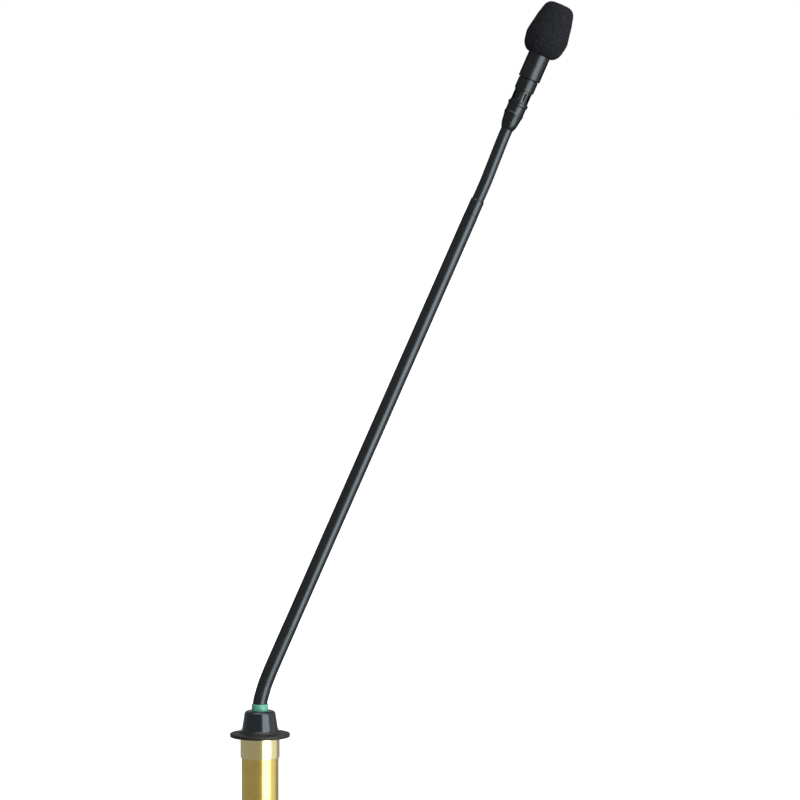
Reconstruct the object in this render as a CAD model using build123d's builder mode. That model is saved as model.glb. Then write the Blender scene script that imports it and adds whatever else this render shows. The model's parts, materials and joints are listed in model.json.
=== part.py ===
"""Gooseneck lectern microphone with a flange for mounting through a desk.

Z points up and the origin is the centre of the flange's underside, which rests on the desk.
The neck leans towards +X. Lengths are in millimetres and angles in degrees.
"""
from build123d import *
from math import cos, radians, sin, sqrt
import os

os.makedirs("parts", exist_ok=True)

# Flange, isolator bell and strain relief ring
flange_r = 17.5
flange_rim = 2.1
flange_edge = 0.5
boss_r = 11.5
boss_top = 3.6
bell_foot_r = 11.2
bell_shoulder_r = 9.2
bell_flat_r = 7.0
bell_top = 15.4
bell_wall = 2.4
relief_r = 4.85
relief_top = 19.2
seat_r = 11.6
seat_depth = 0.3
spigot_r = 9.45
spigot_bore = 7.5

# Neck: two flexible stretches of ball-jointed links with a stiff tube between them.
# Each stretch has one hinge per joint, side to side and front to back in turn, and each
# rest angle tilts the neck further towards +X at that joint.
neck_r = 4.1
neck_bore = 2.1
lower_pitch = 5.0
lower_rest = (15.76, 0, 6, 0, 2, 0, 0, 0, 0, 0)
first_joint = 20.5
thin_r = 3.4
thin_bore = 1.6
upper_pitch = 4.5
upper_rest = (0, 0, -2.3, 0, 0, 0, 0, 0, 2.14, 0)
ball_gap = 0.15
bore_flare = 0.7
tube_length = 275.6
tube_wall = 0.8
collar_length = 9.5
lead_r = 1.2

# Barrel below the flange, and the clamp that holds it in the desk
barrel_r = 10.8
barrel_bore = 9.5
barrel_length = 78.5
collar_r = 11.45
barrel_collar_length = 12.2
washer_r = 17.0
washer_thick = 1.6
washer_top = -41.0
nut_flats = 30.0
nut_thick = 6.0
nut_chamfer = 1.2
washer_clearance = 0.2
nut_clearance = 0.05

# Stud that carries the neck through the flange
stud_r = 3.5
stud_bottom = -6.0
stud_head_r = 6.0
stud_head_thick = 1.4
stud_nut_flats = 11.0
stud_nut_thick = 3.5
stud_washer_r = 6.8
stud_washer_thick = 0.5

# Three-pin connector at the barrel's lower end
shell_r = 9.4
shell_bore = 7.9
shell_length = 16.0
cavity_depth = 12.0
pin_r = 1.2
pin_circle_r = 4.75
pin_tail = 3.0
insert_thick = 12.0
insert_screw_r = 1.1
insert_screw_z = -74.5

# Preamplifier board inside the barrel
board_width = 15.0
board_length = 44.0
board_thick = 1.2
board_top = -20.0
transformer_length = 13.0

# Head, in heights above the centre of the last ball
adapter_top = 18.2
adapter_lip_r = 5.9
adapter_screw_height = 14.8
adapter_screw_r = 1.0
vent_r = 5.15
vent_top = 25.4
vent_bore = 3.6
vent_socket = 4.3
vent_bottom = 13.6
vent_neck_r = 4.5
vent_neck_top = 29.0
vent_slots = 10
ring_r = 5.8
ring_top = 32.5
groove = 0.3
housing_r = 6.5
housing_bore = 5.3
housing_top = 62.0
grille_top = 66.0
grille_wall = 0.6
can_r = 4.85
can_bottom = 54.5
can_top = 61.5
can_wall = 0.3
boot_bottom = 50.0
boot_top = 59.0
plug_foot = 52.0
foam_bottom = 47.9
foam_top = 79.8
foam_gap = 0.3


def along(lean):
    """Unit vector up the neck where it leans by this angle."""
    return Vector(sin(radians(lean)), 0, cos(radians(lean)))


def section(place):
    """Plane of a lengthwise section: its X is the radius and its Y the height."""
    origin, lean = place
    return Plane(origin=origin, x_dir=(cos(radians(lean)), 0, -sin(radians(lean))), z_dir=(0, -1, 0))


def across(place, height):
    """Plane square to the axis at this height, facing up the axis."""
    origin, lean = place
    return Plane(origin=origin + along(lean) * height,
                 x_dir=(cos(radians(lean)), 0, -sin(radians(lean))), z_dir=along(lean))


def spine(place):
    origin, lean = place
    return Axis(origin, along(lean))


def chain(start, lean, pitch, rests):
    """Centre of each joint and the lean above it, for joints one pitch apart."""
    places = []
    centre = start
    for rest in rests:
        lean += rest
        places.append((centre, lean))
        centre = centre + along(lean) * pitch
    return places


def arc_below(centre, radius, start_r, end_r):
    """Arc of a ball or socket below its centre, from one distance off the axis to another."""
    middle_r = (start_r + end_r) / 2
    points = [(r, centre - sqrt(radius**2 - r**2)) for r in (start_r, middle_r, end_r)]
    return ThreePointArc(*points)


def socket_rim(outer_r):
    """How far the rim of a socket lies below the centre of the ball it holds."""
    return sqrt((outer_r + ball_gap) ** 2 - outer_r**2)


root = (Vector(0, 0, 0), 0)
lower = chain(Vector(0, 0, first_joint), 0, lower_pitch, lower_rest)
tube = lower[-1]
upper = chain(tube[0] + along(tube[1]) * tube_length, tube[1], upper_pitch, upper_rest)
head = upper[-1]

# ---------------------------------------------------------------- flange and bell

with BuildPart() as flange:
    with BuildSketch(section(root)):
        with BuildLine():
            Polyline((stud_r, boss_top), (boss_r, boss_top), (boss_r + 0.5, flange_rim + 0.5),
                     (flange_r - flange_edge, flange_rim))
            RadiusArc((flange_r - flange_edge, flange_rim), (flange_r, flange_rim - flange_edge), flange_edge)
            Line((flange_r, flange_rim - flange_edge), (flange_r, flange_edge))
            RadiusArc((flange_r, flange_edge), (flange_r - flange_edge, 0), flange_edge)
            Polyline((flange_r - flange_edge, 0), (seat_r, 0), (seat_r, seat_depth), (spigot_r, seat_depth),
                     (spigot_r, stud_bottom), (spigot_bore, stud_bottom), (spigot_bore, 0), (stud_r, 0),
                     (stud_r, boss_top))
        make_face()
    revolve(axis=spine(root))
flange.part.label = "flange"
export_step(flange.part, "parts/flange.step")

with BuildPart() as isolator_bell:
    with BuildSketch(section(root)):
        with BuildLine():
            ThreePointArc((bell_foot_r, boss_top), (10.65, 4.6), (10.2, 6.4))
            Line((10.2, 6.4), (bell_shoulder_r, 12.8))
            ThreePointArc((bell_shoulder_r, 12.8), (8.5, 14.7), (bell_flat_r, bell_top))
            Polyline((bell_flat_r, bell_top), (neck_r, bell_top), (neck_r, bell_top - bell_wall),
                     (bell_shoulder_r - bell_wall, bell_top - bell_wall),
                     (bell_foot_r - bell_wall, boss_top), (bell_foot_r, boss_top))
        make_face()
    revolve(axis=spine(root))
isolator_bell.part.label = "isolator_bell"
export_step(isolator_bell.part, "parts/isolator_bell.step")

with BuildPart() as strain_relief_ring:
    with BuildSketch(Plane.XY.offset(bell_top)):
        Circle(relief_r)
        Circle(neck_r, mode=Mode.SUBTRACT)
    extrude(amount=relief_top - bell_top)
    fillet(strain_relief_ring.edges().group_by(Axis.Z)[-1].sort_by(SortBy.RADIUS)[-1], 0.5)
strain_relief_ring.part.label = "strain_relief_ring"
export_step(strain_relief_ring.part, "parts/strain_relief_ring.step")

with BuildPart() as neck_stud:
    rim = first_joint - socket_rim(neck_r)
    with BuildSketch(section(root)):
        with BuildLine():
            Polyline((neck_bore, stud_bottom), (stud_r, stud_bottom), (stud_r, boss_top),
                     (stud_head_r, boss_top), (stud_head_r, boss_top + stud_head_thick),
                     (neck_r, boss_top + stud_head_thick), (neck_r, rim))
            arc_below(first_joint, neck_r + ball_gap, neck_r, neck_bore)
            Line((neck_bore, first_joint - sqrt((neck_r + ball_gap) ** 2 - neck_bore**2)),
                 (neck_bore, stud_bottom))
        make_face()
    revolve(axis=spine(root))
neck_stud.part.label = "neck_stud"
export_step(neck_stud.part, "parts/neck_stud.step")

with BuildPart() as stud_washer:
    with BuildSketch(Plane.XY.offset(-stud_washer_thick)):
        Circle(stud_washer_r)
        Circle(stud_r, mode=Mode.SUBTRACT)
    extrude(amount=stud_washer_thick)
stud_washer.part.label = "stud_washer"
export_step(stud_washer.part, "parts/stud_washer.step")

with BuildPart() as stud_nut:
    with BuildSketch(Plane.XY.offset(-stud_washer_thick - stud_nut_thick)):
        RegularPolygon(radius=stud_nut_flats / 2, side_count=6, major_radius=False)
        Circle(stud_r, mode=Mode.SUBTRACT)
    extrude(amount=stud_nut_thick)
stud_nut.part.label = "stud_nut"
export_step(stud_nut.part, "parts/stud_nut.step")

# ---------------------------------------------------------------- barrel and clamp

with BuildPart() as barrel_tube:
    with BuildSketch(Plane.XY.offset(-barrel_length)):
        Circle(barrel_r)
        Circle(barrel_bore, mode=Mode.SUBTRACT)
    extrude(amount=barrel_length + seat_depth)
    with BuildSketch(Plane.YZ.offset(barrel_bore - 1)):
        with Locations((0, insert_screw_z)):
            Circle(insert_screw_r + 0.2)
    extrude(amount=barrel_r - barrel_bore + 2, mode=Mode.SUBTRACT)
barrel_tube.part.label = "barrel_tube"
export_step(barrel_tube.part, "parts/barrel_tube.step")

with BuildPart() as barrel_collar:
    with BuildSketch(Plane.XY.offset(-barrel_collar_length)):
        Circle(collar_r)
        Circle(barrel_r, mode=Mode.SUBTRACT)
    extrude(amount=barrel_collar_length)
    chamfer(barrel_collar.edges().group_by(Axis.Z)[0].sort_by(SortBy.RADIUS)[-1], 0.25)
barrel_collar.part.label = "barrel_collar"
export_step(barrel_collar.part, "parts/barrel_collar.step")

with BuildPart() as clamp_washer:
    with BuildSketch(Plane.XY.offset(washer_top - washer_thick)):
        Circle(washer_r)
        Circle(barrel_r + washer_clearance, mode=Mode.SUBTRACT)
    extrude(amount=washer_thick)
    fillet(clamp_washer.edges().filter_by(GeomType.CIRCLE).group_by(SortBy.RADIUS)[-1], 0.3)
clamp_washer.part.label = "clamp_washer"
export_step(clamp_washer.part, "parts/clamp_washer.step")

with BuildPart() as lock_nut:
    nut_bottom = washer_top - washer_thick - nut_thick - 0.02
    with BuildSketch(Plane.XY.offset(nut_bottom)):
        RegularPolygon(radius=nut_flats / 2, side_count=6, major_radius=False)
    extrude(amount=nut_thick)
    with BuildSketch(section(root)):
        with BuildLine():
            corner_r = nut_flats / sqrt(3)
            nut_top = nut_bottom + nut_thick
            Polyline((0, nut_bottom), (nut_flats / 2, nut_bottom), (corner_r, nut_bottom + nut_chamfer),
                     (corner_r, nut_top - nut_chamfer), (nut_flats / 2, nut_top), (0, nut_top),
                     (0, nut_bottom))
        make_face()
    revolve(axis=spine(root), mode=Mode.INTERSECT)
    with BuildSketch(Plane.XY.offset(nut_bottom)):
        Circle(barrel_r + nut_clearance)
    extrude(amount=nut_thick, mode=Mode.SUBTRACT)
lock_nut.part.label = "lock_nut"
export_step(lock_nut.part, "parts/lock_nut.step")

# ---------------------------------------------------------------- connector

shell_shoulder = -barrel_length - 1.5
shell_bottom = shell_shoulder - shell_length
cavity_floor = shell_bottom + cavity_depth
pin_places = [(pin_circle_r * cos(radians(a)), pin_circle_r * sin(radians(a))) for a in (0, 180, 270)]

with BuildPart() as xlr_shell:
    with BuildSketch(section(root)):
        with BuildLine():
            Polyline((shell_bore, shell_bottom), (shell_r - 0.4, shell_bottom),
                     (shell_r, shell_bottom + 0.4), (shell_r, shell_shoulder),
                     (barrel_r - 0.3, shell_shoulder), (barrel_r, shell_shoulder + 0.3),
                     (barrel_r, -barrel_length), (barrel_bore, -barrel_length),
                     (barrel_bore, -barrel_length + 8.5), (shell_bore, -barrel_length + 8.5),
                     (shell_bore, shell_bottom))
        make_face()
    revolve(axis=spine(root))
    with BuildSketch(Plane.XY.offset(shell_bottom)):
        with Locations((0, shell_bore)):
            Rectangle(2.4, 1.4)
    extrude(amount=cavity_depth, mode=Mode.SUBTRACT)
    with BuildSketch(Plane.YZ.offset(shell_bore - 1)):
        with Locations((0, insert_screw_z)):
            Circle(insert_screw_r)
    extrude(amount=4, mode=Mode.SUBTRACT)
xlr_shell.part.label = "xlr_shell"
export_step(xlr_shell.part, "parts/xlr_shell.step")

with BuildPart() as xlr_insert:
    with BuildSketch(Plane.XY.offset(cavity_floor)):
        Circle(shell_bore)
        with Locations(*pin_places):
            Circle(pin_r, mode=Mode.SUBTRACT)
    extrude(amount=insert_thick)
    with BuildSketch(Plane.YZ.offset(shell_bore - 1.2)):
        with Locations((0, insert_screw_z)):
            Circle(insert_screw_r)
    extrude(amount=2, mode=Mode.SUBTRACT)
xlr_insert.part.label = "xlr_insert"
export_step(xlr_insert.part, "parts/xlr_insert.step")

with BuildPart() as xlr_pins:
    with BuildSketch(Plane.XY.offset(shell_bottom + 1)):
        with Locations(*pin_places):
            Circle(pin_r)
    extrude(amount=cavity_depth - 1 + insert_thick + pin_tail)
    fillet(xlr_pins.edges().group_by(Axis.Z)[0], 0.8)
    with BuildSketch(Plane.XY.offset(cavity_floor + insert_thick + 0.8)):
        with Locations(*pin_places):
            Circle(pin_r - 0.4)
    extrude(amount=pin_tail, mode=Mode.SUBTRACT)
xlr_pins.part.label = "xlr_pins"
export_step(xlr_pins.part, "parts/xlr_pins.step")

with BuildPart() as insert_screw:
    with BuildSketch(Plane.YZ.offset(shell_bore - 1.1)):
        with Locations((0, insert_screw_z)):
            Circle(insert_screw_r)
    extrude(amount=barrel_r - shell_bore + 0.9)
    with BuildSketch(Plane.YZ.offset(barrel_r - 1)):
        with Locations((0, insert_screw_z)):
            RegularPolygon(radius=insert_screw_r / 2, side_count=6)
    extrude(amount=1, mode=Mode.SUBTRACT)
insert_screw.part.label = "insert_screw"
export_step(insert_screw.part, "parts/insert_screw.step")

# ---------------------------------------------------------------- electronics in the barrel

board_bottom = board_top - board_length

with BuildPart() as preamp_board:
    with BuildSketch(Plane.XZ):
        with Locations((0, (board_top + board_bottom) / 2)):
            RectangleRounded(board_width, board_length, 1)
    extrude(amount=board_thick / 2, both=True)
preamp_board.part.label = "preamp_board"
export_step(preamp_board.part, "parts/preamp_board.step")

with BuildPart() as preamp_components:
    with BuildSketch(Plane.XZ.offset(-board_thick / 2)):
        with Locations((0, board_bottom + transformer_length)):
            RectangleRounded(10.5, transformer_length, 1)
    extrude(amount=-6.4)
    with BuildSketch(Plane.XZ.offset(-board_thick / 2)):
        with Locations((-3.4, board_top - 9), (3.4, board_top - 9)):
            Circle(2.5)
    extrude(amount=-5)
    with BuildSketch(Plane.XZ.offset(board_thick / 2)):
        with Locations((0, (board_top + board_bottom) / 2)):
            with GridLocations(4.2, 10, 3, 3):
                RectangleRounded(2.6, 5, 0.3)
    extrude(amount=2)
preamp_components.part.label = "preamp_components"
export_step(preamp_components.part, "parts/preamp_components.step")

with BuildPart() as board_spacers:
    for z in (board_top - 4, board_bottom + 2):
        with BuildSketch(Plane.XY.offset(z)):
            Circle(barrel_bore)
            Rectangle(board_width, board_thick, mode=Mode.SUBTRACT)
            with Locations((0, 5)):
                Rectangle(5, 5, mode=Mode.SUBTRACT)
        extrude(amount=2)
board_spacers.part.label = "board_spacers"
export_step(board_spacers.part, "parts/board_spacers.step")

with BuildPart() as pin_wires:
    for x, y in pin_places:
        foot = (x, y, cavity_floor + insert_thick + pin_tail)
        top = (x * 0.8, -board_thick / 2 - 0.5, board_bottom + 1)
        with BuildLine() as route:
            FilletPolyline(foot, (x, y, foot[2] + 2), (top[0], top[1], top[2] - 2), top, radius=0.8)
        with BuildSketch(Plane(origin=route.line @ 0, z_dir=route.line % 0)):
            Circle(0.45)
        sweep(path=route.line)
pin_wires.part.label = "pin_wires"
export_step(pin_wires.part, "parts/pin_wires.step")

# ---------------------------------------------------------------- neck


def ball_mouth(outer_r, bore):
    """Flared mouth of the bore through a ball, from its inner end to the ball's face."""
    mouth_r = bore + bore_flare
    mouth = -sqrt(outer_r**2 - mouth_r**2)
    return (bore, mouth + 2 * bore_flare), (mouth_r, mouth)


def link_profile(outer_r, bore, pitch):
    """Half section of one link: a ball at its foot and a socket for the next link's ball."""
    socket_r = outer_r + ball_gap
    Line(*ball_mouth(outer_r, bore))
    arc_below(0, outer_r, bore + bore_flare, outer_r)
    Line((outer_r, 0), (outer_r, pitch - socket_rim(outer_r)))
    arc_below(pitch, socket_r, outer_r, bore)
    Line((bore, pitch - sqrt(socket_r**2 - bore**2)), ball_mouth(outer_r, bore)[0])


for number, place in enumerate(lower[:-1], 1):
    with BuildPart() as lower_link:
        with BuildSketch(section(place)):
            with BuildLine():
                link_profile(neck_r, neck_bore, lower_pitch)
            make_face()
        revolve(axis=spine(place))
    lower_link.part.label = f"lower_link_{number}"
    export_step(lower_link.part, f"parts/lower_link_{number}.step")

for number, place in enumerate(upper[:-1], 1):
    with BuildPart() as upper_link:
        with BuildSketch(section(place)):
            with BuildLine():
                link_profile(thin_r, thin_bore, upper_pitch)
            make_face()
        revolve(axis=spine(place))
    upper_link.part.label = f"upper_link_{number}"
    export_step(upper_link.part, f"parts/upper_link_{number}.step")

tube_bore = neck_r - tube_wall
tube_foot = 3.0
tube_end = tube_length - socket_rim(thin_r) - 1.1
tube_top = tube_end - collar_length

with BuildPart() as tube_bushing:
    with BuildSketch(section(tube)):
        with BuildLine():
            Line(*ball_mouth(neck_r, neck_bore))
            arc_below(0, neck_r, neck_bore + bore_flare, neck_r)
            Polyline((neck_r, 0), (neck_r, tube_foot), (tube_bore, tube_foot), (tube_bore, tube_foot + 10),
                     (neck_bore, tube_foot + 10), ball_mouth(neck_r, neck_bore)[0])
        make_face()
    revolve(axis=spine(tube))
tube_bushing.part.label = "tube_bushing"
export_step(tube_bushing.part, "parts/tube_bushing.step")

with BuildPart() as center_tube:
    with BuildSketch(across(tube, tube_foot)):
        Circle(neck_r)
        Circle(tube_bore, mode=Mode.SUBTRACT)
    extrude(amount=tube_top - tube_foot)
center_tube.part.label = "center_tube"
export_step(center_tube.part, "parts/center_tube.step")

with BuildPart() as tube_collar:
    with BuildSketch(section(tube)):
        with BuildLine():
            Polyline((thin_bore, tube_top - 8), (tube_bore, tube_top - 8), (tube_bore, tube_top),
                     (neck_r - 0.3, tube_top), (neck_r - 0.1, tube_top + 0.2),
                     (neck_r - 0.1, tube_end - 0.5), (neck_r - 0.5, tube_end), (thin_r, tube_end),
                     (thin_r, tube_length - socket_rim(thin_r)))
            arc_below(tube_length, thin_r + ball_gap, thin_r, thin_bore)
            Line((thin_bore, tube_length - sqrt((thin_r + ball_gap) ** 2 - thin_bore**2)),
                 (thin_bore, tube_top - 8))
        make_face()
    revolve(axis=spine(tube))
tube_collar.part.label = "tube_collar"
export_step(tube_collar.part, "parts/tube_collar.step")

# ---------------------------------------------------------------- lead inside the neck

lead_below = 4.5
lead_above = 4.0
lead_foot = board_top + 0.5


def bends(points):
    """Fillet radii for a route, one per corner, each as large as its shorter run allows."""
    radii = []
    for before, corner, after in zip(points, points[1:], points[2:]):
        arm_in, arm_out = corner - before, after - corner
        half_turn = radians(arm_in.get_angle(arm_out) / 2)
        radii.append(0.45 * min(arm_in.length, arm_out.length) * cos(half_turn) / sin(half_turn))
    return radii


def corners(start, places, rests, end):
    """The ends of a route and the joints between them where the neck turns."""
    return [start] + [place[0] for place, rest in zip(places, rests) if rest] + [end]


with BuildPart() as lead_base:
    with BuildSketch(Plane.XY.offset(lead_foot)):
        Circle(lead_r)
    extrude(amount=first_joint - lead_below - lead_foot)
lead_base.part.label = "lead_base"
export_step(lead_base.part, "parts/lead_base.step")

lower_route = corners(Vector(0, 0, first_joint - lead_below), lower, lower_rest,
                      tube[0] + along(tube[1]) * lead_above)
upper_route = corners(upper[0][0] - along(tube[1]) * lead_below, upper, upper_rest,
                      head[0] + along(head[1]) * lead_above)

with BuildPart() as lead_lower:
    with BuildLine() as lower_line:
        FilletPolyline(*lower_route, radius=bends(lower_route))
    with BuildSketch(Plane(origin=lower_line.line @ 0, z_dir=lower_line.line % 0)):
        Circle(lead_r)
    sweep(path=lower_line.line)
lead_lower.part.label = "lead_lower"
export_step(lead_lower.part, "parts/lead_lower.step")

with BuildPart() as lead_center:
    with BuildSketch(across(tube, lead_above)):
        Circle(lead_r)
    extrude(amount=tube_length - lead_below - lead_above)
lead_center.part.label = "lead_center"
export_step(lead_center.part, "parts/lead_center.step")

with BuildPart() as lead_upper:
    with BuildLine() as upper_line:
        FilletPolyline(*upper_route, radius=bends(upper_route))
    with BuildSketch(Plane(origin=upper_line.line @ 0, z_dir=upper_line.line % 0)):
        Circle(lead_r)
    sweep(path=upper_line.line)
lead_upper.part.label = "lead_upper"
export_step(lead_upper.part, "parts/lead_upper.step")

# ---------------------------------------------------------------- head

screw_plane = Plane(origin=head[0] + along(head[1]) * adapter_screw_height, x_dir=along(head[1]),
                    z_dir=(0, 1, 0))

with BuildPart() as neck_adapter:
    with BuildSketch(section(head)):
        with BuildLine():
            Line(*ball_mouth(thin_r, thin_bore))
            arc_below(0, thin_r, thin_bore + bore_flare, thin_r)
            Line((thin_r, 0), (thin_r, 1.2))
            Spline((thin_r, 1.2), (4.55, 4), (5.1, 7.4), (5.7, 10.6))
            ThreePointArc((5.7, 10.6), (5.78, 11.2), (5.5, 12))
            Polyline((5.5, 12), (5.5, 15.9), (adapter_lip_r, 16.4), (adapter_lip_r, adapter_top - 0.3),
                     (adapter_lip_r - 0.3, adapter_top), (vent_socket, adapter_top), (vent_socket, 13),
                     (3.6, 12.3), (3.6, 7), (thin_bore, 5), ball_mouth(thin_r, thin_bore)[0])
        make_face()
    revolve(axis=spine(head))
    with BuildSketch(screw_plane):
        Circle(adapter_screw_r)
    extrude(amount=2 * adapter_lip_r, mode=Mode.SUBTRACT)
neck_adapter.part.label = "neck_adapter"
export_step(neck_adapter.part, "parts/neck_adapter.step")

with BuildPart() as adapter_screw:
    with BuildSketch(screw_plane.offset(4.32)):
        Circle(adapter_screw_r)
    extrude(amount=1.1)
    with BuildSketch(screw_plane.offset(4.9)):
        RegularPolygon(radius=adapter_screw_r / 2, side_count=6)
    extrude(amount=1, mode=Mode.SUBTRACT)
adapter_screw.part.label = "adapter_screw"
export_step(adapter_screw.part, "parts/adapter_screw.step")

with BuildPart() as vent_ring:
    with BuildSketch(section(head)):
        with BuildLine():
            Polyline((vent_bore, vent_bottom), (vent_socket, vent_bottom), (vent_socket, adapter_top),
                     (vent_r, adapter_top), (vent_r, vent_top), (vent_neck_r, vent_top),
                     (vent_neck_r, vent_neck_top), (vent_bore, vent_neck_top), (vent_bore, vent_bottom))
        make_face()
    revolve(axis=spine(head))
    with BuildSketch(across(head, adapter_top + 1.2)):
        with PolarLocations((vent_bore + vent_r) / 2, vent_slots):
            Rectangle(vent_r - vent_bore + 1.4, 1.5)
    extrude(amount=vent_top - adapter_top - 2.4, mode=Mode.SUBTRACT)
vent_ring.part.label = "vent_ring"
export_step(vent_ring.part, "parts/vent_ring.step")

with BuildPart() as vent_screen:
    with BuildSketch(across(head, adapter_top + 0.4)):
        Circle(vent_bore)
        Circle(vent_bore - 0.3, mode=Mode.SUBTRACT)
    extrude(amount=vent_top - adapter_top - 0.8)
vent_screen.part.label = "vent_screen"
export_step(vent_screen.part, "parts/vent_screen.step")

with BuildPart() as cartridge_ring:
    with BuildSketch(section(head)):
        with BuildLine():
            Polyline((vent_neck_r, vent_top), (ring_r - 0.25, vent_top), (ring_r, vent_top + 0.25),
                     (ring_r, ring_top - 0.25), (ring_r - 0.25, ring_top), (housing_bore, ring_top),
                     (housing_bore, ring_top + 5.5), (4.6, ring_top + 5.5), (4.6, vent_neck_top + 1.5),
                     (2.2, vent_neck_top + 1.5), (2.2, vent_neck_top), (vent_neck_r, vent_neck_top),
                     (vent_neck_r, vent_top))
        make_face()
    revolve(axis=spine(head))
cartridge_ring.part.label = "cartridge_ring"
export_step(cartridge_ring.part, "parts/cartridge_ring.step")

with BuildPart() as capsule_housing:
    with BuildSketch(across(head, ring_top + groove)):
        Circle(housing_r)
        Circle(housing_bore, mode=Mode.SUBTRACT)
    extrude(amount=housing_top - ring_top - groove)
    fillet(capsule_housing.edges().filter_by(GeomType.CIRCLE).group_by(SortBy.RADIUS)[-1]
           .sort_by(Axis.Z)[0], 0.5)
capsule_housing.part.label = "capsule_housing"
export_step(capsule_housing.part, "parts/capsule_housing.step")

with BuildPart() as front_grille:
    with BuildSketch(section(head)):
        with BuildLine():
            Polyline((0, grille_top), (housing_r - grille_wall, grille_top),
                     (housing_r, grille_top - grille_wall), (housing_r, housing_top),
                     (housing_bore, housing_top), (housing_bore, boot_top + 0.2),
                     (can_r + 0.05, boot_top + 0.2), (can_r + 0.05, housing_top + 0.6),
                     (housing_r - grille_wall, housing_top + 1),
                     (housing_r - grille_wall, grille_top - grille_wall), (0, grille_top - grille_wall),
                     (0, grille_top))
        make_face()
    revolve(axis=spine(head))
    for row, holes in enumerate((1, 6, 12, 18)):
        with BuildSketch(across(head, grille_top - 1)):
            with PolarLocations(row * 1.52, holes):
                Circle(0.5)
        extrude(amount=2, mode=Mode.SUBTRACT)
front_grille.part.label = "front_grille"
export_step(front_grille.part, "parts/front_grille.step")

with BuildPart() as grille_screen:
    with BuildSketch(across(head, grille_top - 0.9)):
        Circle(housing_r - grille_wall)
    extrude(amount=0.3)
grille_screen.part.label = "grille_screen"
export_step(grille_screen.part, "parts/grille_screen.step")

with BuildPart() as cartridge_boot:
    with BuildSketch(section(head)):
        with BuildLine():
            Polyline((2.5, boot_bottom), (housing_bore, boot_bottom), (housing_bore, boot_top),
                     (can_r, boot_top), (can_r, can_bottom), (4.2, can_bottom), (4.2, boot_bottom + 1.2),
                     (2.5, boot_bottom + 1.2), (2.5, boot_bottom))
        make_face()
    revolve(axis=spine(head))
cartridge_boot.part.label = "cartridge_boot"
export_step(cartridge_boot.part, "parts/cartridge_boot.step")

with BuildPart() as cartridge_can:
    can_bore = can_r - can_wall
    with BuildSketch(section(head)):
        with BuildLine():
            Polyline((can_bore, can_bottom), (can_r, can_bottom), (can_r, can_top - 0.2),
                     (can_r - 0.2, can_top), (1.2, can_top), (1.2, can_top - can_wall),
                     (can_bore, can_top - can_wall), (can_bore, can_bottom))
        make_face()
    revolve(axis=spine(head))
cartridge_can.part.label = "cartridge_can"
export_step(cartridge_can.part, "parts/cartridge_can.step")

with BuildPart() as cartridge_diaphragm:
    film_height = can_top - can_wall - 0.6
    with BuildSketch(across(head, film_height)):
        Circle(can_bore)
        Circle(can_bore - 0.6, mode=Mode.SUBTRACT)
    extrude(amount=0.6)
    with BuildSketch(across(head, film_height)):
        Circle(can_bore - 0.6)
    extrude(amount=0.1)
cartridge_diaphragm.part.label = "cartridge_diaphragm"
export_step(cartridge_diaphragm.part, "parts/cartridge_diaphragm.step")

with BuildPart() as cartridge_backplate:
    with BuildSketch(across(head, film_height - 1.2)):
        Circle(can_bore - 0.3)
        with PolarLocations(2.2, 6):
            Circle(0.35, mode=Mode.SUBTRACT)
    extrude(amount=1)
cartridge_backplate.part.label = "cartridge_backplate"
export_step(cartridge_backplate.part, "parts/cartridge_backplate.step")

with BuildPart() as backplate_holder:
    with BuildSketch(across(head, can_bottom + 1.2)):
        Circle(can_bore)
        Circle(can_bore - 0.9, mode=Mode.SUBTRACT)
    extrude(amount=film_height - 1.2 - can_bottom - 1.2)
backplate_holder.part.label = "backplate_holder"
export_step(backplate_holder.part, "parts/backplate_holder.step")

with BuildPart() as cartridge_board:
    with BuildSketch(across(head, can_bottom + 0.2)):
        Circle(can_bore)
    extrude(amount=1)
    with BuildSketch(across(head, can_bottom + 1.2)):
        Rectangle(2.6, 1.6)
    extrude(amount=1.1)
cartridge_board.part.label = "cartridge_board"
export_step(cartridge_board.part, "parts/cartridge_board.step")

with BuildPart() as cartridge_pins:
    with BuildSketch(across(head, plug_foot)):
        with GridLocations(3, 0, 2, 1):
            Circle(0.35)
    extrude(amount=can_bottom + 0.2 - plug_foot)
cartridge_pins.part.label = "cartridge_pins"
export_step(cartridge_pins.part, "parts/cartridge_pins.step")

with BuildPart() as lead_head:
    with BuildSketch(across(head, lead_above)):
        Circle(lead_r)
    extrude(amount=plug_foot - lead_above)
lead_head.part.label = "lead_head"
export_step(lead_head.part, "parts/lead_head.step")

with BuildPart() as windscreen:
    foam_bore = housing_r + foam_gap
    foam_floor = grille_top + foam_gap
    with BuildSketch(section(head)):
        with BuildLine():
            foam_line = Spline((foam_bore + 0.6, foam_bottom), (9.2, foam_bottom + 1.1),
                               (10.8, foam_bottom + 3.2), (12, foam_bottom + 7), (12.45, foam_bottom + 10.5),
                               (11.7, foam_bottom + 16.1), (10.6, foam_bottom + 22.1),
                               (8.9, foam_top - 3.8))
            crown = ThreePointArc(foam_line @ 1, (7.4, foam_top - 1.5), (5.2, foam_top - 0.4))
            Line(crown @ 1, (0, foam_top))
            Polyline((0, foam_top), (0, foam_floor), (foam_bore, foam_floor), (foam_bore, foam_bottom),
                     foam_line @ 0)
        make_face()
    revolve(axis=spine(head))
windscreen.part.label = "windscreen"
export_step(windscreen.part, "parts/windscreen.step")
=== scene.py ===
"""Gooseneck lectern microphone: its finished surfaces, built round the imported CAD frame.

Lengths are in metres, in the frame's own axes: +Z is up, the neck leans towards +X and the
viewer stands on the -Y side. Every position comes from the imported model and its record.
"""
import json
from math import cos, pi, radians, sin

import bpy
import numpy as np
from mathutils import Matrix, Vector, noise


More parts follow.
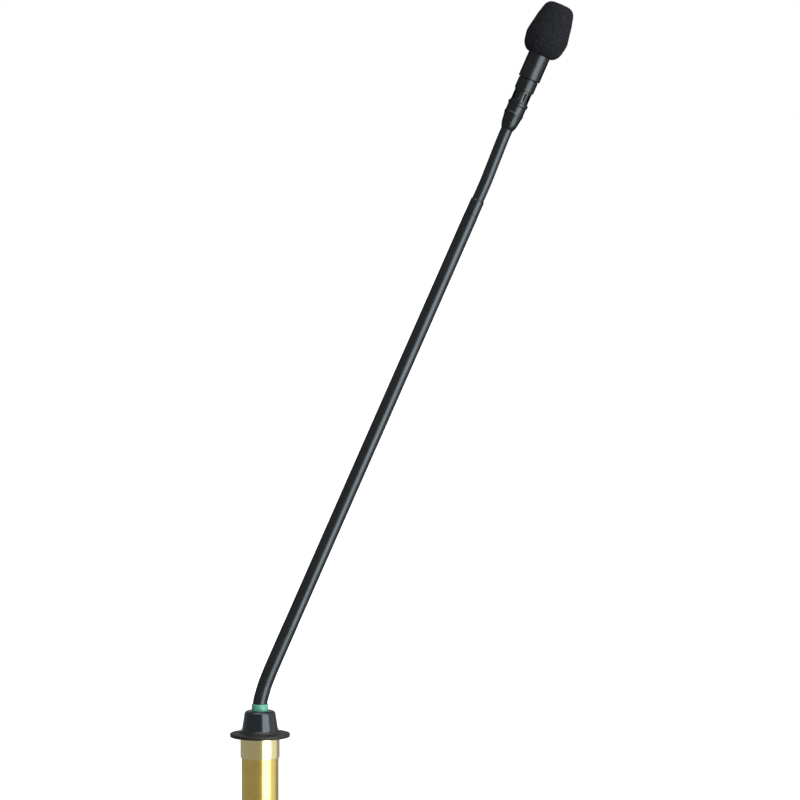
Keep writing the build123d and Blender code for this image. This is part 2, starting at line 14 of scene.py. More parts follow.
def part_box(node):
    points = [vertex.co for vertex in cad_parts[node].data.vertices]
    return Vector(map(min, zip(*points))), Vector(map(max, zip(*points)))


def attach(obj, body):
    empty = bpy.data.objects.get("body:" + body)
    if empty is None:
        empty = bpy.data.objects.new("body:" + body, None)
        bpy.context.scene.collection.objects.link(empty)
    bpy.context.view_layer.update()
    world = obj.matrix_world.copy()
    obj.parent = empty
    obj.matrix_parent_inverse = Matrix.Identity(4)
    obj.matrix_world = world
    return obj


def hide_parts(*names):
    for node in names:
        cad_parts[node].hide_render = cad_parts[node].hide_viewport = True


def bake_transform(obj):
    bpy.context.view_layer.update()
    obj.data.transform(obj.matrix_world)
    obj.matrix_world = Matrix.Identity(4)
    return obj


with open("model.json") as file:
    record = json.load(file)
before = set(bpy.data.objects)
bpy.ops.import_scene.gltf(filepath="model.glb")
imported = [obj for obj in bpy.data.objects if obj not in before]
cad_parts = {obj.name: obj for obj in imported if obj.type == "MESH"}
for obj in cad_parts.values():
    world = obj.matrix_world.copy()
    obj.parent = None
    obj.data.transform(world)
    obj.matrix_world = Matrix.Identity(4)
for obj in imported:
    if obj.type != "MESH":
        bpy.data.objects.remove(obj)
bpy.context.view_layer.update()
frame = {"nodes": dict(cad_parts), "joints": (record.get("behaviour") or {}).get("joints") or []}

MM = 0.001
UP = Vector((0, 0, 1))
SIDE = Vector((1, 0, 0))
FRONT = Vector((0, 1, 0))
CREASE = radians(40)
SCENE = bpy.context.scene

# ---------------------------------------------------------------- places taken from the frame


def stretch_joints(stretch):
    """The neck joints of one flexible stretch, from its foot up."""
    return [j for j in frame["joints"] if j["name"].startswith(stretch + "_")]


def centre_of(joint):
    return Vector(joint["pos_m"])


LOWER, UPPER = stretch_joints("lower"), stretch_joints("upper")
TUBE_AXIS = (centre_of(UPPER[0]) - centre_of(LOWER[-1])).normalized()
HEAD = centre_of(UPPER[-1])
SLIDE = next(j for j in frame["joints"] if j["name"] == "windscreen_slide")
HEAD_AXIS = Vector(SLIDE["axis"]).normalized()
HEAD_LEAN = HEAD_AXIS.angle(UP)
TUBE_LEAN = TUBE_AXIS.angle(UP)


def radius_of(node):
    """Outer radius of an upright round node."""
    low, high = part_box(node)
    return (high.x - low.x) / 2


# ---------------------------------------------------------------- mesh helpers


def ring(centre, axis, radius, sides):
    """Points round a centre, square to an axis in the XZ plane. The radius may vary round it."""
    turn = np.arange(sides) * 2 * pi / sides
    side = np.array(FRONT.cross(axis))
    spokes = np.outer(np.cos(turn), side) + np.outer(np.sin(turn), FRONT)
    return np.array(centre) + spokes * np.reshape(radius, (-1, 1))


def skin(name, rings, loop):
    """Closed mesh through rings of points: a loop joins the last to the first, else both are capped."""
    rings = np.array(rings)
    count, sides = rings.shape[:2]
    faces = []
    for i in range(count if loop else count - 1):
        near, far = i * sides, (i + 1) % count * sides
        for k in range(sides):
            after = (k + 1) % sides
            faces.append((near + k, near + after, far + after, far + k))
    if not loop:
        faces.append(tuple(range(sides))[::-1])
        faces.append(tuple(range((count - 1) * sides, count * sides)))
    return solid(name, rings.reshape(-1, 3), faces)


def solid(name, points, faces):
    """New object with smooth faces and sharp creases, its normals outwards."""
    mesh = bpy.data.meshes.new(name)
    mesh.from_pydata(np.asarray(points).tolist(), [], faces)
    made = bpy.data.objects.new(name, mesh)
    SCENE.collection.objects.link(made)
    outward(mesh)
    mesh.shade_smooth()
    mesh.set_sharp_from_angle(angle=CREASE)
    return made


def outward(mesh):
    """Turns every face outwards, judged by the sign of the mesh's volume."""
    volume = 0
    for face in mesh.polygons:
        first, *rest = (mesh.vertices[v].co for v in face.vertices)
        for b, c in zip(rest, rest[1:]):
            volume += first.dot(b.cross(c))
    if volume < 0:
        mesh.flip_normals()


# ---------------------------------------------------------------- material helpers


class Finish:
    """A material with its shader, and patterns that are laid over it in the part's own axes."""

    def __init__(self, name, colour, roughness, metallic=0.0, lean=0.0):
        self.material = bpy.data.materials.new(name)
        self.material.use_nodes = True
        self.nodes = self.material.node_tree.nodes
        self.links = self.material.node_tree.links
        self.shader = self.nodes["Principled BSDF"]
        self.lean = lean
        self.last_bump = None
        self.set("Base Color", (*colour, 1))
        self.set("Roughness", roughness)
        self.set("Metallic", metallic)

    def set(self, socket, value):
        self.shader.inputs[socket].default_value = value

    def add(self, kind, **values):
        """New node; each value goes to the input of that name, or else to the node's setting."""
        node = self.nodes.new(kind)
        for key, value in values.items():
            socket = node.inputs.get(key.replace("_", " "))
            if socket is not None:
                socket.default_value = value
            else:
                setattr(node, key, value)
        return node

    def place(self, stretch):
        """Object coordinates turned so that Z runs along the part, then scaled per axis."""
        where = self.add("ShaderNodeTexCoord")
        turned = self.add("ShaderNodeMapping", Rotation=(0, -self.lean, 0))
        scaled = self.add("ShaderNodeMapping", Scale=stretch)
        self.links.new(where.outputs["Object"], turned.inputs["Vector"])
        self.links.new(turned.outputs["Vector"], scaled.inputs["Vector"])
        return scaled.outputs["Vector"]

    def grain(self, size, stretch=(1, 1, 1), detail=3.0):
        """Soft noise with patches of about this size in metres."""
        pattern = self.add("ShaderNodeTexNoise", Scale=1 / size, Detail=detail)
        self.links.new(self.place(stretch), pattern.inputs["Vector"])
        return pattern.outputs["Fac"]

    def cells(self, size):
        """Distance from the middle of the nearest cell, as in an open foam."""
        pattern = self.add("ShaderNodeTexVoronoi", Scale=1 / size)
        self.links.new(self.place((1, 1, 1)), pattern.inputs["Vector"])
        return pattern.outputs["Distance"]

    def tint(self, pattern, dark, light, low=0.3, high=0.7):
        """Base colour running from dark to light with the pattern."""
        ramp = self.add("ShaderNodeValToRGB")
        first, last = ramp.color_ramp.elements
        first.position = low
        first.color = (*dark, 1)
        last.position = high
        last.color = (*light, 1)
        self.links.new(pattern, ramp.inputs["Fac"])
        self.links.new(ramp.outputs["Color"], self.shader.inputs["Base Color"])

    def polish(self, pattern, low, high):
        """Roughness running from low to high with the pattern."""
        span = self.add("ShaderNodeMapRange", From_Min=0.3, From_Max=0.7, To_Min=low, To_Max=high)
        self.links.new(pattern, span.inputs["Value"])
        self.links.new(span.outputs["Result"], self.shader.inputs["Roughness"])

    def relief(self, pattern, depth):
        """Bump of this depth in metres, on top of any bump before it."""
        bump = self.add("ShaderNodeBump", Strength=1.0, Distance=depth)
        self.links.new(pattern, bump.inputs["Height"])
        if self.last_bump:
            self.links.new(self.last_bump, bump.inputs["Normal"])
        self.last_bump = bump.outputs["Normal"]
        self.links.new(self.last_bump, self.shader.inputs["Normal"])


def dress(finish, *names):
    """Gives these CAD nodes a material."""
    for name in names:
        mesh = frame["nodes"][name].data
        mesh.materials.clear()
        mesh.materials.append(finish.material)


# ---------------------------------------------------------------- materials

# faint blue cast of what the rubber bell mirrors
COOL = (0.80, 0.92, 1.0, 1)
# how much of its glancing shine the black metal keeps under its lacquer
EDGE = (0.25, 0.25, 0.25, 1)


def satin_black():
    """Blackened and lacquered metal of the head, satin, with a faint orange peel."""
    made = Finish("black_metal_head", (0.045, 0.052, 0.056), 0.3, metallic=1.0, lean=HEAD_LEAN)
    made.tint(made.grain(6 * MM), (0.041, 0.048, 0.052), (0.049, 0.056, 0.060))
    made.set("Specular Tint", EDGE)
    made.polish(made.grain(1.6 * MM), 0.26, 0.34)
    made.relief(made.grain(0.4 * MM, detail=2), 0.006 * MM)
    return made


def moulded_flange():
    """Flange: moulded black, duller than the paint."""
    made = Finish("flange_black", (0.016, 0.0155, 0.016), 0.5)
    made.tint(made.grain(4 * MM), (0.013, 0.0125, 0.013), (0.019, 0.0185, 0.019))
    made.set("Specular IOR Level", 0.3)
    made.relief(made.grain(0.4 * MM, detail=2), 0.008 * MM)
    return made


def neck_paint():
    """Slate black metal of the tube and sleeves, its grain drawn out a little along the neck."""
    made = Finish("neck_black", (0.054, 0.063, 0.069), 0.31, metallic=1.0, lean=TUBE_LEAN)
    made.tint(made.grain(5 * MM, (1, 1, 0.25)), (0.049, 0.058, 0.064), (0.059, 0.068, 0.074))
    made.set("Specular Tint", EDGE)
    made.polish(made.grain(1.2 * MM, (1, 1, 0.4)), 0.28, 0.35)
    made.relief(made.grain(0.35 * MM, (1, 1, 0.5), detail=2), 0.006 * MM)
    return made


def glossy_rubber():
    """Moulded bell: black rubber with a high gloss, a little dull where it has been handled."""
    made = Finish("bell_rubber", (0.006, 0.007, 0.009), 0.2)
    made.tint(made.grain(4 * MM), (0.003, 0.005, 0.007), (0.005, 0.008, 0.011))
    made.set("Specular IOR Level", 0.7)
    made.set("Specular Tint", COOL)
    made.polish(made.grain(2.5 * MM), 0.15, 0.22)
    made.relief(made.grain(0.8 * MM, detail=2), 0.006 * MM)
    return made


def green_silicone():
    """Strain relief ring: soft sea-green silicone that lets a little light through."""
    made = Finish("relief_green", (0.09, 0.34, 0.25), 0.4)
    made.tint(made.grain(1.5 * MM), (0.07, 0.28, 0.20), (0.11, 0.39, 0.29))
    made.set("Subsurface Weight", 0.4)
    made.set("Subsurface Radius", (0.6, 1.0, 0.8))
    made.set("Subsurface Scale", 1.0 * MM)
    made.relief(made.grain(0.4 * MM), 0.02 * MM)
    return made


def polished_brass():
    """Pale polished collar with the fine rings of the lathe."""
    made = Finish("brass_polished", (0.86, 0.79, 0.42), 0.2, metallic=1.0)
    made.tint(made.grain(4 * MM), (0.84, 0.76, 0.40), (0.88, 0.81, 0.45))
    made.polish(made.grain(0.5 * MM, (0.05, 0.05, 1)), 0.17, 0.22)
    made.relief(made.grain(0.25 * MM, (0.02, 0.02, 1), detail=1), 0.003 * MM)
    return made


def drawn_brass():
    """Golden barrel, turned: faint rings round it, and a trace of tarnish."""
    made = Finish("brass_drawn", (0.82, 0.63, 0.20), 0.24, metallic=1.0)
    made.tint(made.grain(7 * MM), (0.80, 0.60, 0.18), (0.85, 0.66, 0.22))
    made.polish(made.grain(0.7 * MM, (0.04, 0.04, 1)), 0.21, 0.27)
    made.relief(made.grain(0.35 * MM, (0.02, 0.02, 1), detail=1), 0.003 * MM)
    return made


def satin_nickel():
    """Plated connector shell, turned and lightly blasted."""
    made = Finish("nickel", (0.62, 0.61, 0.58), 0.28, metallic=1.0)
    made.tint(made.grain(5 * MM), (0.56, 0.55, 0.51), (0.68, 0.67, 0.64))
    made.polish(made.grain(0.6 * MM), 0.24, 0.36)
    made.relief(made.grain(0.3 * MM, (0.04, 0.04, 1)), 0.008 * MM)
    return made


def zinc_plate():
    """Bright zinc on steel hardware, with its cloudy spangle."""
    made = Finish("zinc_steel", (0.56, 0.57, 0.58), 0.34, metallic=1.0)
    made.tint(made.grain(3 * MM), (0.44, 0.45, 0.47), (0.64, 0.65, 0.65))
    made.polish(made.grain(1.2 * MM), 0.26, 0.44)
    made.relief(made.grain(0.25 * MM), 0.003 * MM)
    return made


def silver_contacts():
    """Contact pins: bright silver with a trace of yellow tarnish."""
    made = Finish("contact_silver", (0.78, 0.76, 0.72), 0.18, metallic=1.0)
    made.tint(made.grain(1.5 * MM), (0.70, 0.66, 0.56), (0.84, 0.83, 0.80))
    made.relief(made.grain(0.2 * MM, (1, 1, 0.05)), 0.004 * MM)
    return made


def moulded(name, colour, roughness):
    """Moulded plastic or rubber with a fine even texture."""
    size = 0.5 * MM
    made = Finish(name, colour, roughness)
    lighter = tuple(c * 1.25 + 0.002 for c in colour)
    darker = tuple(c * 0.85 for c in colour)
    made.tint(made.grain(size * 6), darker, lighter)
    made.polish(made.grain(size * 2), roughness - 0.05, roughness + 0.08)
    made.relief(made.grain(size), 0.015 * MM)
    return made


def solder_mask():
    """Green circuit board with a faint weave of the glass cloth under the lacquer."""
    made = Finish("circuit_board", (0.02, 0.16, 0.07), 0.3)
    made.tint(made.grain(2 * MM), (0.015, 0.12, 0.05), (0.03, 0.20, 0.09))
    made.relief(made.cells(0.4 * MM), 0.01 * MM)
    return made


def woven_steel():
    """Fine steel screen: small pale cells, with painted shade darkening the gaps between."""
    made = Finish("screen_steel", (0.35, 0.35, 0.36), 0.4, metallic=1.0)
    # painted shade: the gaps between the cells, sunk by the relief below, are coloured dark
    made.tint(made.cells(0.25 * MM), (0.42, 0.42, 0.43), (0.10, 0.10, 0.11), 0.2, 0.6)
    made.relief(made.cells(0.25 * MM), -0.08 * MM)
    return made


def drawn_aluminium():
    """Deep-drawn cartridge can."""
    made = Finish("can_aluminium", (0.75, 0.75, 0.76), 0.28, metallic=1.0, lean=HEAD_LEAN)
    made.tint(made.grain(1.5 * MM), (0.68, 0.68, 0.69), (0.80, 0.80, 0.81))
    made.polish(made.grain(0.4 * MM, (1, 1, 0.05)), 0.2, 0.38)
    made.relief(made.grain(0.3 * MM, (1, 1, 0.04)), 0.006 * MM)
    return made


def metallised_film():
    """Gold film of the diaphragm and backplate."""
    made = Finish("film_gold", (0.9, 0.72, 0.35), 0.2, metallic=1.0)
    made.tint(made.grain(1 * MM), (0.84, 0.64, 0.28), (0.94, 0.78, 0.42))
    made.relief(made.grain(0.6 * MM), 0.004 * MM)
    return made


def open_foam():
    """Black acoustic foam: matt, with open cells; painted shade darkens the middle of each pore, and
    the struts are left paler.
    """
    made = Finish("foam", (0.008, 0.008, 0.009), 0.95)
    # painted shade: the colour is darkest in the middle of each pore and paler out on the struts
    made.tint(made.cells(0.6 * MM), (0.003, 0.003, 0.004), (0.019, 0.021, 0.026), 0.1, 0.75)
    made.set("Specular IOR Level", 0.12)
    made.relief(made.cells(0.6 * MM), 0.5 * MM)
    made.relief(made.grain(0.2 * MM), 0.08 * MM)
    return made


# ---------------------------------------------------------------- neck sleeves and lead

# how far a sleeve stands off the links, and how far it laps the stiff tube at either end
SLEEVE_STAND = 0.04 * MM
LOWER_LAP = 4.5 * MM
UPPER_LAP = 1 * MM
SLEEVE_WALL = 0.7 * MM
RIB_PITCH = 1.3 * MM
RIB_DEPTH = 0.07 * MM
SLEEVE_SIDES = 64
SLEEVE_STEPS = 28
LEAD_SIDES = 20
LEAD_STEPS = 8


def tube_point(node, axis, origin, pick):
    """Lowest or highest point of a straight round node, on its axis."""
    heights = [(v.co - origin).dot(axis) for v in frame["nodes"][node].data.vertices]
    return origin + axis * pick(heights)


def leaning_radius(node, axis, origin):
    """Outer radius of a round node about a leaning axis."""
    points = [v.co - origin for v in frame["nodes"][node].data.vertices]
    return max((p - axis * p.dot(axis)).length for p in points)


LOWER_RADIUS = leaning_radius("center_tube", TUBE_AXIS, centre_of(LOWER[-1]))
UPPER_RADIUS = leaning_radius("upper_link_1", TUBE_AXIS, centre_of(UPPER[0]))


def half_pitch(joints):
    """Half the length of a link."""
    return (centre_of(joints[1]) - centre_of(joints[0])).length / 2


def stations(joints, foot, top):
    """Where the neck's pieces meet: the foot, the middle of each link, and the top."""
    centres = [centre_of(j) for j in joints]
    return [foot] + [(a + b) / 2 for a, b in zip(centres, centres[1:])] + [top]


def bend_path(start, corner, end, steps):
    """Points and directions along a smooth bend that leaves and arrives along its two arms."""
    path = []
    for step in range(steps + 1):
        t = step / steps
        point = (1 - t) ** 2 * start + 2 * t * (1 - t) * corner + t**2 * end
        axis = (1 - t) * (corner - start).normalized() + t * (end - corner).normalized()
        path.append((point, axis.normalized()))
    return path


def ribs(distance, sides):
    """Height of the sleeve's helical ribs round the neck at this distance along it, from 0 to 1."""
    turn = np.arange(sides) / sides
    phase = distance / RIB_PITCH - turn
    return 0.5 - 0.5 * np.cos(2 * pi * phase)


def sleeve_rings(path, travelled, radius):
    """Rings of a sleeve piece: up the ribbed outside, then back down the plain inside."""
    outside, inside = [], []
    for (point, axis), distance in zip(path, travelled):
        rise = radius + RIB_DEPTH * ribs(distance, SLEEVE_SIDES)
        outside.append(ring(point, axis, rise, SLEEVE_SIDES))
        inside.append(ring(point, axis, radius - SLEEVE_WALL, SLEEVE_SIDES))
    return outside + inside[::-1]


def path_lengths(path, start):
    """Distance travelled at each point of a path, from the given start."""
    steps = [(b[0] - a[0]).length for a, b in zip(path, path[1:])]
    return start + np.concatenate([[0], np.cumsum(steps)])


def bend_with(piece):
    """Bakes the piece's placement into its points."""
    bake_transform(piece)


def neck_sleeve(stretch, joints, foot, top, radius, paint):
    """Sleeve of one flexible stretch, a piece per joint, in place of the stretch's links."""
    meets = stations(joints, foot, top)
    travelled = 0
    for number, joint in enumerate(joints, 1):
        start, corner, end = meets[number - 1], centre_of(joint), meets[number]
        path = bend_path(start, corner, end, SLEEVE_STEPS)
        lengths = path_lengths(path, travelled)
        travelled = lengths[-1]
        piece = skin(f"{stretch}_sleeve_{number}", sleeve_rings(path, lengths, radius), loop=True)
        piece.data.materials.append(paint.material)
        if joint["child"] in frame["nodes"]:
            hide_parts(joint["child"])
        bend_with(piece)


def neck_lead(stretch, joints, foot, top, jacket):
    """The lead inside one flexible stretch, a piece per joint."""
    node = f"lead_{stretch}"
    radius = radius_of("lead_base")
    meets = stations(joints, foot, top)
    for number, joint in enumerate(joints, 1):
        path = bend_path(meets[number - 1], centre_of(joint), meets[number], LEAD_STEPS)
        rings = [ring(point, axis, radius, LEAD_SIDES) for point, axis in path]
        piece = skin(f"{node}_{number}", rings, loop=False)
        piece.data.materials.append(jacket.material)
        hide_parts(node)
        bend_with(piece)


# ---------------------------------------------------------------- foam windscreen

FOAM_SIDES = 320
FOAM_STEP = 0.24 * MM
OUTLINE_POINTS = 90
PORE_SIZE = 0.75 * MM
PORE_DEPTH = 0.3 * MM
PORE_SLOPE = 1.7
MOUTH_EDGE = 0.3 * MM
CLOSE = 0.01 * MM
PINHOLE = 0.02 * MM


def along_head(node):
    """Radius and height of each vertex of a head node, about the head's axis."""
    points = [v.co - HEAD for v in frame["nodes"][node].data.vertices]
    heights = np.array([p.dot(HEAD_AXIS) for p in points])
    radii = np.array([(p - HEAD_AXIS * h).length for p, h in zip(points, heights)])
    return radii, heights


def outline(node, middle, count):
    """Outer outline of a round node from its mouth to its tip, as seen from a point on its axis."""
    radii, heights = along_head(node)
    mouth = heights.min()
    bore = radii[heights < mouth + CLOSE].min()
    angles = np.arctan2(heights - middle, radii)
    reach = np.hypot(heights - middle, radii)
    edges = np.linspace(np.arctan2(mouth - middle, bore), pi / 2, count)
    half = (edges[1] - edges[0]) / 2
    kept = [(a, reach[abs(angles - a) <= half].max()) for a in edges if (abs(angles - a) <= half).any()]
    at, far = np.array(kept).T
    smooth = np.interp(edges, at, far)
    return smooth * np.cos(edges), middle + smooth * np.sin(edges), bore


def pores(point):
    """Depth of the foam's open cells at a point, from 0 on a strut to 1 in a pore."""
    spots = noise.voronoi(Vector(point) / PORE_SIZE)[0]
    return max(0, 1 - PORE_SLOPE * spots[0])


def pitted_ring(height, radius, core, share):
    """Ring of the foam's surface, sunk by its pores towards a point at the core height."""
    flat = ring(HEAD + HEAD_AXIS * height, HEAD_AXIS, radius, FOAM_SIDES)
    inwards = np.array(HEAD + HEAD_AXIS * core) - flat
    inwards /= np.linalg.norm(inwards, axis=1, keepdims=True)
    depth = np.array([pores(point) for point in flat]) * PORE_DEPTH * max(0, share)
    return flat + inwards * depth[:, None]


def plain_ring(height, radius):
    """Smooth ring of the foam's bore and tip."""
    return ring(HEAD + HEAD_AXIS * height, HEAD_AXIS, radius, FOAM_SIDES)


def foam_windscreen(foam):
    """The foam: the CAD solid's outline, pitted with open cells, with its bore and mouth."""
    all_heights = along_head("windscreen")[1]
    low, high = all_heights.min(), all_heights.max()
    radii, heights, bore = outline("windscreen", low + 0.5 * (high - low), OUTLINE_POINTS)
    travelled = np.concatenate([[0], np.cumsum(np.hypot(np.diff(radii), np.diff(heights)))])
    at = np.arange(0, travelled[-1], FOAM_STEP)
    radii, heights = np.interp(at, travelled, radii), np.interp(at, travelled, heights)
    rings = []
    for radius, height in zip(radii, heights):
        near_mouth = height < low + PORE_SIZE
        share = min(1, (radius - bore) / PORE_SIZE + 0.3) if near_mouth else 1
        rings.append(pitted_ring(height, radius, min(height, heights[-1] - bore), share))
    bore_end = bore_floor("windscreen", bore)
    rings.append(plain_ring(heights[-1], PINHOLE))
    rings.append(plain_ring(bore_end, PINHOLE))
    rings.append(plain_ring(bore_end, bore))
    rings.append(plain_ring(low + MOUTH_EDGE, bore))
    made = skin("foam_windscreen", rings, loop=True)
    made.data.materials.append(foam.material)
    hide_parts("windscreen")
    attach(made, "windscreen")


def bore_floor(node, bore):
    """Height of the floor of a head node's bore."""
    radii, heights = along_head(node)
    return heights[abs(radii - bore) < CLOSE].max()


# ---------------------------------------------------------------- threaded barrel

THREAD_PITCH = 1.5 * MM
THREAD_DEPTH = 0.65 * MM
THREAD_TOP = -38.0 * MM
THREAD_BOTTOM = -72.6 * MM
THREAD_FADE = 1.5 * MM
THREAD_STEPS = 12
# a groove starts this far past its middle, and this steep, in shares of the pitch
GROOVE_START = 1.25
GROOVE_SLOPE = 3.2
BARREL_SIDES = 128
BARREL_CHAMFER = 0.3 * MM
SCREW_HOLE_CLEARANCE = 0.15 * MM
SCREW_HOLE_SIDES = 48


def thread_cut(height):
    """Depth of the thread's groove round the barrel at this height."""
    turn = np.arange(BARREL_SIDES) / BARREL_SIDES
    phase = (height / THREAD_PITCH - turn) % 1
    groove = np.clip(GROOVE_START - np.abs(phase - 0.5) * GROOVE_SLOPE, 0, 1)
    fade = min((THREAD_TOP - height) / THREAD_FADE, (height - THREAD_BOTTOM) / THREAD_FADE, 1)
    return THREAD_DEPTH * groove * max(0, fade)


def threaded_barrel(brass):
    """The barrel, with its thread cut below the stretch that shows above the desk clamp."""
    low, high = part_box("barrel_tube")
    outer = radius_of("barrel_tube")
    bore = radius_of("board_spacers")
    heights = [high.z, THREAD_TOP]
    steps = round((THREAD_TOP - THREAD_BOTTOM) / THREAD_PITCH * THREAD_STEPS)
    heights += list(np.linspace(THREAD_TOP, THREAD_BOTTOM, steps + 1)[1:])
    heights += [low.z + BARREL_CHAMFER]
    rings = [ring((0, 0, h), UP, outer - thread_cut(h), BARREL_SIDES) for h in heights]
    rings.append(ring((0, 0, low.z), UP, outer - BARREL_CHAMFER, BARREL_SIDES))
    rings.append(ring((0, 0, low.z), UP, bore, BARREL_SIDES))
    rings.append(ring((0, 0, high.z), UP, bore, BARREL_SIDES))
    made = skin("threaded_barrel", rings, loop=True)
    cut_screw_hole(made)
    made.data.materials.append(brass.material)
    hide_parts("barrel_tube")
    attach(made, "base")


def cut_screw_hole(barrel):
    """Cuts the hole through the barrel's wall for the screw that holds the connector's insert."""
    low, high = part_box("insert_screw")
    height = (low.z + high.z) / 2
    radius = (high.z - low.z) / 2 + SCREW_HOLE_CLEARANCE
    ends = [ring((x, 0, height), SIDE, radius, SCREW_HOLE_SIDES) for x in (low.x, high.x + 2 * MM)]
    drill = skin("drill", ends, loop=False)
    cut = barrel.modifiers.new("hole", "BOOLEAN")
    cut.object = drill
    cut.operation = "DIFFERENCE"
    cut.solver = "EXACT"
    graph = bpy.context.evaluated_depsgraph_get()
    cut_mesh = bpy.data.meshes.new_from_object(barrel.evaluated_get(graph))
    barrel.modifiers.clear()
    barrel.data = cut_mesh
    bpy.data.objects.remove(drill)


# ---------------------------------------------------------------- camera, lights and floor

PICTURE_WIDTH = 0.464
CAMERA_DISTANCE = 2.3
CAMERA_PITCH = radians(3.5)
CAMERA_TARGET = Vector((0.0816, 0, 0.1966))
SENSOR = 36.0
ROOM_FRONT = (0.33, 0.305, 0.265)
ROOM_BACK = (0.34, 0.35, 0.36)
FLOOR_REACH = 40.0
FLOOR_SIDES = 96


def towards(azimuth, elevation):
    """Unit vector from the part to a place seen at this angle; azimuth 0 is the viewer's side."""
    a, e = radians(azimuth), radians(elevation)
    return Vector((sin(a) * cos(e), -cos(a) * cos(e), sin(e)))


def aim(made, target):
    made.rotation_euler = (target - made.location).to_track_quat("-Z", "Y").to_euler()


def camera():
    """Long lens from the front, a little above the base, so that the barrel leaves the picture."""
    data = bpy.data.cameras.new("camera")
    data.sensor_width = SENSOR
    data.lens = SENSOR * CAMERA_DISTANCE / PICTURE_WIDTH
    made = bpy.data.objects.new("camera", data)
    SCENE.collection.objects.link(made)
    back = Vector((0, -cos(CAMERA_PITCH), sin(CAMERA_PITCH)))
    made.location = CAMERA_TARGET + back * CAMERA_DISTANCE
    aim(made, CAMERA_TARGET)
    SCENE.camera = made


def softbox(name, azimuth, elevation, distance, size, power):
    """Rectangular light of this width and height, facing the middle of the part."""
    data = bpy.data.lights.new(name, "AREA")
    data.shape = "RECTANGLE"
    data.size, data.size_y = size
    data.energy = power
    made = bpy.data.objects.new(name, data)
    SCENE.collection.objects.link(made)
    made.location = CAMERA_TARGET + towards(azimuth, elevation) * distance
    aim(made, CAMERA_TARGET)


def top_light(strength):
    """Broad even light from above, which keeps the floor pale out to the horizon."""
    data = bpy.data.lights.new("top_light", "SUN")
    data.energy = strength
    data.angle = radians(60)
    made = bpy.data.objects.new("top_light", data)
    SCENE.collection.objects.link(made)
    made.location = (0, 0, 2)
    made.rotation_euler = (radians(12), 0, 0)


def room_light():
    """White backdrop to the camera, and a grey room, warmer in front, to all that it lights."""
    world = bpy.data.worlds.new("room")
    SCENE.world = world
    world.use_nodes = True
    nodes = world.node_tree.nodes
    links = world.node_tree.links
    backdrop = nodes["Background"]
    backdrop.inputs["Color"].default_value = (1, 1, 1, 1)
    backdrop.inputs["Strength"].default_value = 1.0
    room = nodes.new("ShaderNodeBackground")
    where = nodes.new("ShaderNodeTexCoord")
    axes = nodes.new("ShaderNodeSeparateXYZ")
    depth = nodes.new("ShaderNodeMapRange")
    depth.inputs["From Min"].default_value = -1
    tone = nodes.new("ShaderNodeValToRGB")
    front, back = tone.color_ramp.elements
    front.color = (*ROOM_FRONT, 1)
    back.color = (*ROOM_BACK, 1)
    links.new(where.outputs["Generated"], axes.inputs["Vector"])
    links.new(axes.outputs["Y"], depth.inputs["Value"])
    links.new(depth.outputs["Result"], tone.inputs["Fac"])
    links.new(tone.outputs["Color"], room.inputs["Color"])
    path = nodes.new("ShaderNodeLightPath")
    mix = nodes.new("ShaderNodeMixShader")
    links.new(path.outputs["Is Camera Ray"], mix.inputs["Fac"])
    links.new(room.outputs["Background"], mix.inputs[1])
    links.new(backdrop.outputs["Background"], mix.inputs[2])
    links.new(mix.outputs["Shader"], nodes["World Output"].inputs["Surface"])


def pale_floor(height):
    """Round floor, far larger than the view, just under the connector."""
    turn = np.linspace(0, 2 * pi, FLOOR_SIDES, endpoint=False)
    points = [(FLOOR_REACH * cos(a), FLOOR_REACH * sin(a), height) for a in turn]
    mesh = bpy.data.meshes.new("pale_floor")
    mesh.from_pydata(points, [], [tuple(range(len(points)))])
    made = bpy.data.objects.new("pale_floor", mesh)
    SCENE.collection.objects.link(made)
    paint = Finish("pale_floor", (0.85, 0.85, 0.85), 0.9)
    paint.set("Emission Color", (1, 1, 1, 1))
    paint.set("Emission Strength", 0.55)
    made.data.materials.append(paint.material)
    made.visible_glossy = False
    made.visible_diffuse = False
    made.visible_shadow = False


# ---------------------------------------------------------------- assembly

camera()
softbox("key_softbox", azimuth=41, elevation=4, distance=1.4, size=(1.3, 2.6), power=42)
softbox("side_softbox", azimuth=92, elevation=4, distance=1.4, size=(1.3, 2.6), power=5.5)
top_light(strength=1.3)
room_light()
pale_floor(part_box("xlr_shell")[0].z - 1 * MM)
SCENE.view_settings.view_transform = "Standard"

paint = neck_paint()
jacket = moulded("lead_jacket", (0.03, 0.03, 0.032), 0.45)
zinc = zinc_plate()
board = solder_mask()
steel_mesh = woven_steel()
film = metallised_film()
silver = silver_contacts()
brass = drawn_brass()

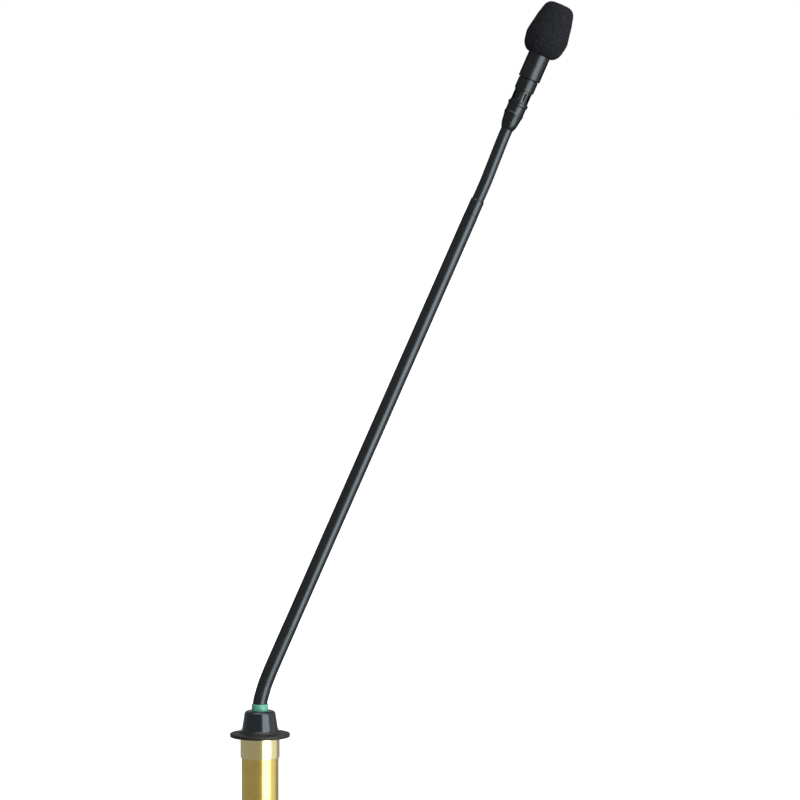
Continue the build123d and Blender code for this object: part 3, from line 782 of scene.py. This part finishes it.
dress(moulded_flange(), "flange")
dress(glossy_rubber(), "isolator_bell")
dress(green_silicone(), "strain_relief_ring")
dress(zinc, "neck_stud", "stud_washer", "stud_nut", "clamp_washer", "lock_nut")
dress(zinc, "insert_screw", "adapter_screw")
dress(polished_brass(), "barrel_collar")
dress(satin_nickel(), "xlr_shell")
dress(moulded("connector_black", (0.02, 0.02, 0.02), 0.5), "xlr_insert")
dress(silver, "xlr_pins", "cartridge_pins")
dress(board, "preamp_board", "cartridge_board")
dress(moulded("component_black", (0.03, 0.03, 0.035), 0.42), "preamp_components")
dress(moulded("spacer_white", (0.75, 0.74, 0.70), 0.45), "board_spacers")
dress(moulded("holder_plastic", (0.80, 0.80, 0.76), 0.4), "backplate_holder")
dress(moulded("wire_red", (0.5, 0.03, 0.02), 0.35), "pin_wires")
dress(moulded("boot_rubber", (0.05, 0.05, 0.052), 0.6), "cartridge_boot")
dress(jacket, "lead_base", "lead_center", "lead_head")
dress(paint, "tube_bushing", "center_tube", "tube_collar")
dress(satin_black(), "neck_adapter", "vent_ring", "cartridge_ring", "capsule_housing", "front_grille")
dress(steel_mesh, "vent_screen", "grille_screen")
dress(drawn_aluminium(), "cartridge_can")
dress(film, "cartridge_diaphragm", "cartridge_backplate")

half_upper = half_pitch(UPPER)
lower_foot = centre_of(LOWER[0]) - UP * half_pitch(LOWER)
lower_top = centre_of(LOWER[-1]) + TUBE_AXIS * LOWER_LAP
upper_foot = centre_of(UPPER[0]) - TUBE_AXIS * (half_upper + UPPER_LAP)
upper_top = HEAD + HEAD_AXIS * half_upper
neck_sleeve("lower", LOWER, lower_foot, lower_top, LOWER_RADIUS + SLEEVE_STAND, paint)
neck_sleeve("upper", UPPER, upper_foot, upper_top, UPPER_RADIUS + SLEEVE_STAND, paint)

lead_foot = Vector((0, 0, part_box("lead_base")[1].z))
lead_centre_foot = tube_point("lead_center", TUBE_AXIS, centre_of(LOWER[-1]), min)
lead_centre_top = tube_point("lead_center", TUBE_AXIS, centre_of(LOWER[-1]), max)
lead_head_foot = tube_point("lead_head", HEAD_AXIS, HEAD, min)
neck_lead("lower", LOWER, lead_foot, lead_centre_foot, jacket)
neck_lead("upper", UPPER, lead_centre_top, lead_head_foot, jacket)

foam_windscreen(open_foam())
threaded_barrel(brass)
